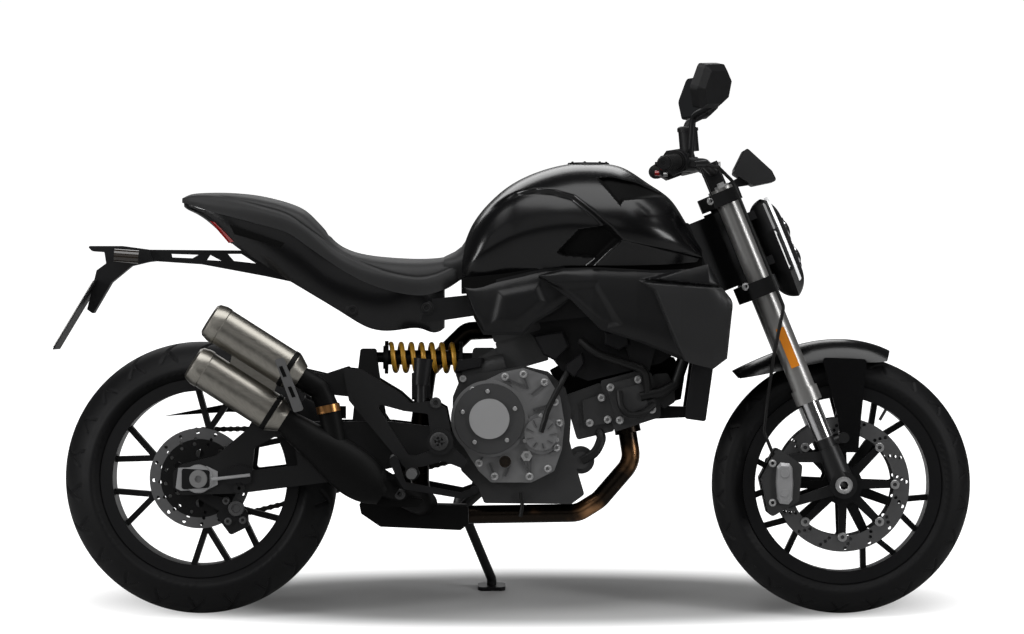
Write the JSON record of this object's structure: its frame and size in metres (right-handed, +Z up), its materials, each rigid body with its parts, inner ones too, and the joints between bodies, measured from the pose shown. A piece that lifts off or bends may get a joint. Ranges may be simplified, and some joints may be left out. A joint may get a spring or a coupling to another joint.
{
  "type": "standard motorcycle",
  "caption": "Naked road motorcycle leaning on its side stand, with turning wheels, a steering fork and bars, and a stand that folds back.",
  "frame": {"origin": "bottom centre of the bounding box, on the road", "axes": "+X forward along the machine, +Y to its left (it leans towards +Y), +Z up from the road"},
  "size_m": [2.1078, 0.9368, 1.3099],
  "materials": {
    "front_rim": "gloss black paint",
    "front_tyre": "rubber",
    "front_discs": "ground steel",
    "disc_carriers": "dark anodised",
    "rear_rim": "gloss black paint",
    "rear_tyre": "rubber",
    "rear_disc": "ground steel",
    "rear_sprocket": "plain steel",
    "front_axle": "turned",
    "fork_lowers": "polished tube, painted foot",
    "fork_uppers": "dark anodised",
    "fork_yokes": "dark anodised",
    "handlebar": "satin black",
    "grips": "moulded rubber",
    "hand_controls": "moulded",
    "hand_levers": "satin black",
    "mirrors": "moulded",
    "mirror_glass": "mirror",
    "headlight_shell": "moulded",
    "headlight_lens": "clear lens over a reflector",
    "dash": "moulded",
    "front_mudguard": "satin moulding",
    "front_calipers": "cast and machined",
    "fork_reflectors": "orange reflector",
    "brake_hoses": "braided hose, covered",
    "crankcase": "painted casting",
    "clutch_cover": "painted casting",
    "alternator_cover": "painted casting",
    "front_cylinder": "painted casting",
    "rear_cylinder": "painted casting",
    "exhaust_headers": "heat-tinted steel",
    "exhaust_box": "matt black",
    "exhaust_link": "matt black",
    "mufflers": "brushed",
    "frame": "satin black",
    "airbox": "moulded",
    "fuel_tank": "gloss black covers",
    "seat": "grained vinyl over foam",
    "tail_unit": "gloss black",
    "tail_light": "red lens",
    "plate_hanger": "moulded",
    "number_plate": "blank plate",
    "rear_indicators": "amber lens",
    "side_panels": "satin dark grey",
    "airbox_covers": "satin dark grey",
    "radiator": "black core",
    "coolant_hoses": "rubber hose",
    "swingarm": "satin black",
    "rear_axle": "turned",
    "rear_caliper": "cast",
    "shock_damper": "anodised",
    "shock_spring": "gold paint",
    "footrest_brackets": "satin dark grey",
    "footpegs": "cast, rubber tops",
    "foot_controls": "cast",
    "chain": "oiled steel",
    "chain_guard": "moulded",
    "side_stand": "black paint"
  },
  "bodies": {
    "chassis": {"crankcase": "crankcase", "clutch_cover": "clutch_cover", "alternator_cover": "alternator_cover", "front_cylinder": "front_cylinder", "rear_cylinder": "rear_cylinder", "exhaust_headers": "exhaust_headers", "exhaust_box": "exhaust_box", "exhaust_link": "exhaust_link", "mufflers": "mufflers", "frame": "frame", "airbox": "airbox", "fuel_tank": "fuel_tank", "seat": "seat", "tail_unit": "tail_unit", "tail_light": "tail_light", "plate_hanger": "plate_hanger", "number_plate": "number_plate", "rear_indicators": "rear_indicators", "side_panels": "side_panels", "airbox_covers": "airbox_covers", "radiator": "radiator", "coolant_hoses": "coolant_hoses", "swingarm": "swingarm", "rear_axle": "rear_axle", "rear_caliper": "rear_caliper", "shock_damper": "shock_damper", "shock_spring": "shock_spring", "footrest_brackets": "footrest_brackets", "footpegs": "footpegs", "foot_controls": "foot_controls", "chain": "chain", "chain_guard": "chain_guard"},
    "steering": {"front_axle": "front_axle", "fork_lowers": "fork_lowers", "fork_uppers": "fork_uppers", "fork_yokes": "fork_yokes", "handlebar": "handlebar", "grips": "grips", "hand_controls": "hand_controls", "hand_levers": "hand_levers", "mirrors": "mirrors", "mirror_glass": "mirror_glass", "headlight_shell": "headlight_shell", "headlight_lens": "headlight_lens", "dash": "dash", "front_mudguard": "front_mudguard", "front_calipers": "front_calipers", "fork_reflectors": "fork_reflectors", "brake_hoses": "brake_hoses"},
    "front_wheel": {"front_rim": "front_rim", "front_tyre": "front_tyre", "front_discs": "front_discs", "disc_carriers": "disc_carriers"},
    "rear_wheel": {"rear_rim": "rear_rim", "rear_tyre": "rear_tyre", "rear_disc": "rear_disc", "rear_sprocket": "rear_sprocket"},
    "side_stand": {"side_stand": "side_stand"}
  },
  "joints": [
    {"name": "steering_turn", "type": "hinge", "parent": "chassis", "child": "steering", "pos_m": [0.54293, -0.07698, 0.74119], "axis": [-0.3778, 0.1608, 0.9118], "range_deg": [-30, 30]},
    {"name": "front_wheel_spin", "type": "hinge", "parent": "steering", "child": "front_wheel", "pos_m": [0.75592, -0.15566, 0.29496], "axis": [0, 0.9848, -0.1736], "continuous": true},
    {"name": "rear_wheel_spin", "type": "hinge", "parent": "chassis", "child": "rear_wheel", "pos_m": [-0.71808, -0.15305, 0.30973], "axis": [0, 0.9848, -0.1736], "continuous": true},
    {"name": "stand_fold", "type": "hinge", "parent": "chassis", "child": "side_stand", "pos_m": [-0.12208, -0.03469, 0.22083], "axis": [0.1152, 0.9011, 0.418], "range_deg": [0, 100]}
  ]
}
